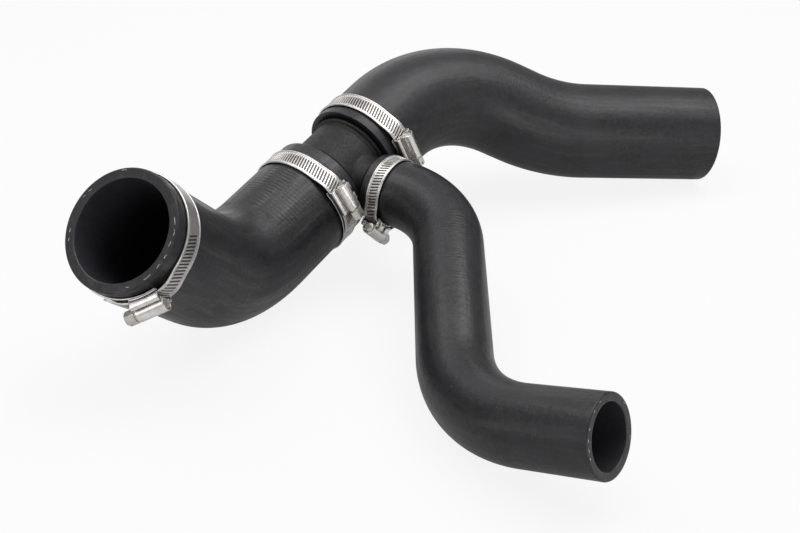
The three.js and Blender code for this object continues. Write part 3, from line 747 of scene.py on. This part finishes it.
def makeSaddle(name, clamp, levels, parts, place, material):
    kind = clamp["kind"]
    half = parts["housing"] / 2
    wallOuter = kind["width"] / 2 + seatGap + parts["sheet"]
    tabMid = wallOuter + seatGap + parts["sheet"] / 2
    foldMid = levels["flangeTop"] + seatGap + parts["sheet"] / 2
    barrelSide = screwSizes["offset"] + screwSizes["diameter"] / 2 + seatGap + parts["sheet"]
    foldEdge = barrelSide + seatGap
    mid = levels["saddle"] + parts["sheet"] / 2
    rise = foldMid - mid
    bend = parts["tabBend"]
    inner, outer = parts["tabSpacing"] / 2, parts["tabSpacing"] / 2 + parts["tabLength"]
    margin = parts["tabMargin"]
    marks = [inner, inner + margin, (inner + outer) / 2, outer - margin, outer,
             (outer + half) / 2, half]
    rows = [-m for m in reversed(marks)] + [0] + marks
    bm = bmesh.new()
    bmesh.ops.create_grid(bm, x_segments=len(rows) - 1, y_segments=parts["saddleRows"],
                          size=0.5)
    low, high = -wallOuter, tabMid - bend
    for vert in bm.verts:
        row = rows[round((vert.co.x + 0.5) * (len(rows) - 1))]
        vert.co = (0, row, low + (vert.co.y + 0.5) * (high - low))
    for side in (-1, 1):
        edges = [e for e in bm.edges if all(
            abs(v.co.z - high) < hair and inner - hair <= v.co.y * side <= outer + hair
            for v in e.verts)]
        for lift in (bend, rise - bend):
            made = bmesh.ops.spin(bm, geom=edges, cent=(lift, 0, high), axis=(0, 1, 0),
                                  dvec=(0, 0, 0), angle=math.pi / 2,
                                  steps=parts["foldSteps"], use_merge=False,
                                  use_duplicate=False)
            edges = [g for g in made["geom_last"] if isinstance(g, bmesh.types.BMEdge)]
            shift = (rise - 2 * bend, 0, 0) if lift == bend else (0, 0, foldEdge - high)
            edges = extrudeEdges(bm, edges, Matrix.Translation(shift))
    bmesh.ops.remove_doubles(bm, verts=bm.verts, dist=weld)
    for vert in bm.verts:  # the plate follows the hose, the folds stay flat
        h, y, _ = vert.co
        drop = mid - math.sqrt(mid ** 2 - y ** 2)
        vert.co.x = mid + h - drop * (1 - h / rise)
    bmesh.ops.recalc_face_normals(bm, faces=bm.faces)
    bmesh.ops.transform(bm, matrix=place, verts=bm.verts)
    piece = settlePiece(name + "Saddle", bm, material, "hose_set",
                        [f"clamp_{name}_saddle"], sharpAngle=parts["creaseAngle"])
    finishSheet(piece, parts)


def makeHousing(name, clamp, levels, parts, place, material):
    kind = clamp["kind"]
    half = parts["housing"] / 2
    edge = kind["width"] / 2 + seatGap + parts["sheet"] / 2
    barrel = screwSizes["diameter"] / 2 + seatGap + parts["sheet"] / 2
    flange = levels["flangeTop"] - parts["sheet"] / 2
    foot = levels["saddleTop"] - parts["footDrop"]
    offset, axisHeight = screwSizes["offset"], levels["screw"]
    lean = math.asin((axisHeight - flange) / barrel)
    ridge = kind["shoulder"] - parts["sheet"] / 2
    ridgeCentre = -edge + ridge
    ridgeHeight = levels["flangeTop"] + parts["shoulderHeight"] - kind["shoulder"]
    corner, arcSteps = parts["cornerRadius"], parts["arcSteps"]
    bm = bmesh.new()
    pen = bm.verts.new((foot, -half, -edge))

    def runTo(vert, x, z):
        made = bmesh.ops.extrude_vert_indiv(bm, verts=[vert])["verts"][0]
        made.co = (x, -half, z)
        return made

    def arcTo(vert, x, z, angle, arc):
        made = bmesh.ops.spin(bm, geom=[vert], cent=(x, -half, z), axis=(0, 1, 0), dvec=(0, 0, 0),
                              angle=angle, steps=arcSteps[arc], use_merge=False,
                              use_duplicate=False)
        return [g for g in made["geom_last"] if isinstance(g, bmesh.types.BMVert)][0]

    pen = runTo(pen, ridgeHeight, -edge)
    pen = arcTo(pen, ridgeHeight, ridgeCentre, -math.pi, "ridge")
    pen = runTo(pen, flange + corner, ridgeCentre + ridge)
    pen = arcTo(pen, flange + corner, ridgeCentre + ridge + corner, math.pi / 2, "corner")
    pen = runTo(pen, flange, offset - barrel * math.cos(lean))
    pen = arcTo(pen, axisHeight, offset, -(math.pi + 2 * lean), "barrel")
    pen = runTo(pen, flange, edge - corner)
    pen = arcTo(pen, flange - corner, edge - corner, -math.pi / 2, "corner")
    runTo(pen, foot, edge)
    bmesh.ops.remove_doubles(bm, verts=bm.verts, dist=weld)
    rim, steps = bm.edges[:], parts["lengthSteps"]
    for _ in range(steps):
        rim = extrudeEdges(bm, rim, Matrix.Translation((0, 2 * half / steps, 0)))
    seat = levels["saddleTop"] + seatGap
    for vert in bm.verts:
        if abs(vert.co.x - foot) < hair:
            vert.co.x = math.sqrt(seat ** 2 - vert.co.y ** 2)
    bmesh.ops.recalc_face_normals(bm, faces=bm.faces)
    bmesh.ops.transform(bm, matrix=place, verts=bm.verts)
    piece = settlePiece(name + "Housing", bm, material, "hose_set",
                        [f"clamp_{name}_housing"], sharpAngle=parts["creaseAngle"])
    finishSheet(piece, parts)


def makeScrew(name, levels, place, material):
    sizes = screwSizes
    worm, half = sizes["diameter"] / 2, clampSheet["housing"] / 2
    collar = worm + seatGap + sizes["collarOverlap"]
    collarStart = half + seatGap
    headStart = collarStart + sizes["collar"]
    headEnd = headStart + sizes["head"]
    corner = sizes["across"] / math.sqrt(3)
    tip, neck = sizes["tipInset"] - half, worm * sizes["neckShare"]
    profile = [(0, tip)] + [(worm + rise, tip + step) for rise, step in sizes["tipShape"]]
    profile += [(worm, half - sizes["neckFrom"]), (neck, half - sizes["neckTo"]),
                (neck, collarStart)]
    profile += [(collar + rise, collarStart + step) for rise, step in sizes["collarShape"]]
    profile += [(collar, headStart - sizes["collarRound"]),
                (collar - sizes["collarRound"], headStart), (0, headStart)]
    shank = latheSolid(profile, sizes["steps"])

    overlap, reach = sizes["headOverlap"], sizes["crownReach"]
    middle = Matrix.Translation((0, headStart + sizes["head"] / 2 - overlap / 2, 0))
    head = bmesh.new()
    bmesh.ops.create_cone(head, cap_ends=True, segments=6, radius1=corner, radius2=corner,
                          depth=sizes["head"] + overlap,
                          matrix=middle @ Matrix.Rotation(math.pi / 2, 4, "X"))
    profile = [(0, headStart - reach), (corner + reach, headStart - reach)]
    profile += [(corner + rise, headEnd + step) for rise, step in sizes["crownShape"]]
    crown = latheSolid(profile + [(0, headEnd)], sizes["crownSteps"])
    head = joinSolids(head, crown, "INTERSECT")
    slot = bmesh.new()
    cut = Matrix.Diagonal((2 * corner + sizes["slotOverrun"], 2 * sizes["slotDepth"],
                           sizes["slotWidth"], 1))
    bmesh.ops.create_cube(slot, size=1, matrix=Matrix.Translation((0, headEnd, 0)) @ cut)
    head = joinSolids(head, slot, "DIFFERENCE")
    screw = joinSolids(shank, head, "UNION")
    seat = place @ Matrix.Translation((levels["screw"], 0, sizes["offset"]))
    bmesh.ops.transform(screw, matrix=seat, verts=screw.verts)
    piece = settlePiece(name + "Screw", screw, material, f"{name}_worm",
                        [f"clamp_{name}_screw"], sharpAngle=sizes["creaseAngle"])
    roundEdges(piece, sizes["edgeRound"], sizes["edgeAngle"])


stripSteel = makeFinish("rolledStainlessStrip", "strip")
# the saddle and housing steel: its colour, paler than the strip's, is painted light
litPressedSteel = makeFinish("litPressedStainless")
screwSteel = makeFinish("zincPlatedSteel")
for name, clamp in clamps.items():
    place = clampPlace(clamp)
    levels = clampLevels(clamp["kind"], clampSheet)
    makeBand(name, clamp, levels, clampSheet, place, stripSteel)
    makeSaddle(name, clamp, levels, clampSheet, place, litPressedSteel)
    makeHousing(name, clamp, levels, clampSheet, place, litPressedSteel)
    makeScrew(name, levels, place, screwSteel)
    print("clamp", name, "done")


# Studio

studio = {
    "paper": "#cacaca", "floorHalf": 4, "world": 0.28,
    # what the world adds for each kind of ray, to be white behind the floor's edge
    "worldFor": {"Is Camera Ray": 0.72, "Is Glossy Ray": 0.12},
    # how much of the floor's own light is plain white to each kind of ray
    "white": {"Is Camera Ray": 0.87, "Is Glossy Ray": 0.3, "Is Transmission Ray": 0.3},
    "lamps": [
        {"name": "topRightSoftbox", "place": (0.52, 0.2, 1.25), "size": 0.95, "power": 13},
        {"name": "topLeftSoftbox", "place": (-0.5, 0.15, 1.25), "size": 0.95, "power": 9},
        {"name": "frontKey", "place": (0.55, -1.05, 0.22), "size": 0.6, "power": 4.5},
        {"name": "leftFill", "place": (-1, -0.65, 0.5), "size": 0.8, "power": 3},
        {"name": "rightFill", "place": (1.3, -0.4, 0.4), "size": 1, "power": 2},
        {"name": "backCard", "place": (-0.35, 1.4, 0.5), "size": 1.2, "power": 4.5},
    ],
    "aim": (0, 0, 0.05),
    "camera": {"lens": 51.2, "sensor": 36, "place": (-0.02679, -0.58223, 0.36168),
               "lookDown": 30.32, "clip": (0.01, 20)},
}

material, tree = newMaterial("studioFloor")
paper = addNode(tree, "ShaderNodeBsdfDiffuse", inputs={"Color": hexColour(studio["paper"])})
white = addNode(tree, "ShaderNodeEmission", inputs={"Color": (1, 1, 1, 1), "Strength": 1.0})
path = addNode(tree, "ShaderNodeLightPath")
whiteShare = 0
for ray, amount in studio["white"].items():
    whiteShare = addNode(tree, "ShaderNodeMath", {"operation": "MULTIPLY_ADD"},
                         {0: path.outputs[ray], 1: amount, 2: whiteShare})
mixed = addNode(tree, "ShaderNodeMixShader", inputs={"Fac": whiteShare, 1: paper, 2: white})
addNode(tree, "ShaderNodeOutputMaterial", inputs={"Surface": mixed})
bm = bmesh.new()
bmesh.ops.create_grid(bm, x_segments=1, y_segments=1, size=studio["floorHalf"])
mesh = bpy.data.meshes.new("floor")
bm.to_mesh(mesh)
bm.free()
mesh.materials.append(material)
floor = linkNew("floor", mesh)

world = bpy.data.worlds.new("studioWorld")
world.use_nodes = True
tree = world.node_tree
tree.nodes.clear()
path = addNode(tree, "ShaderNodeLightPath")
strength = studio["world"]
for ray, amount in studio["worldFor"].items():
    strength = addNode(tree, "ShaderNodeMath", {"operation": "MULTIPLY_ADD"},
                       {0: path.outputs[ray], 1: amount, 2: strength})
sky = addNode(tree, "ShaderNodeBackground",
              inputs={"Color": (1, 1, 1, 1), "Strength": strength})
addNode(tree, "ShaderNodeOutputWorld", inputs={"Surface": sky})
bpy.context.scene.world = world

for lamp in studio["lamps"]:
    light = bpy.data.lights.new(lamp["name"], "AREA")
    light.size = lamp["size"]
    light.energy = lamp["power"]
    holder = linkNew(lamp["name"], light)
    holder.location = lamp["place"]
    aim = Vector(studio["aim"]) - Vector(lamp["place"])
    holder.rotation_euler = aim.to_track_quat("-Z", "Y").to_euler()

view = studio["camera"]
camera = linkNew("camera", bpy.data.cameras.new("camera"))
camera.data.lens = view["lens"]
camera.data.sensor_width = view["sensor"]
camera.location = view["place"]
camera.rotation_euler = (math.radians(90 - view["lookDown"]), 0, 0)
camera.data.clip_start, camera.data.clip_end = view["clip"]
bpy.context.scene.camera = camera
bpy.context.scene.view_settings.view_transform = "Standard"
print("studio done")
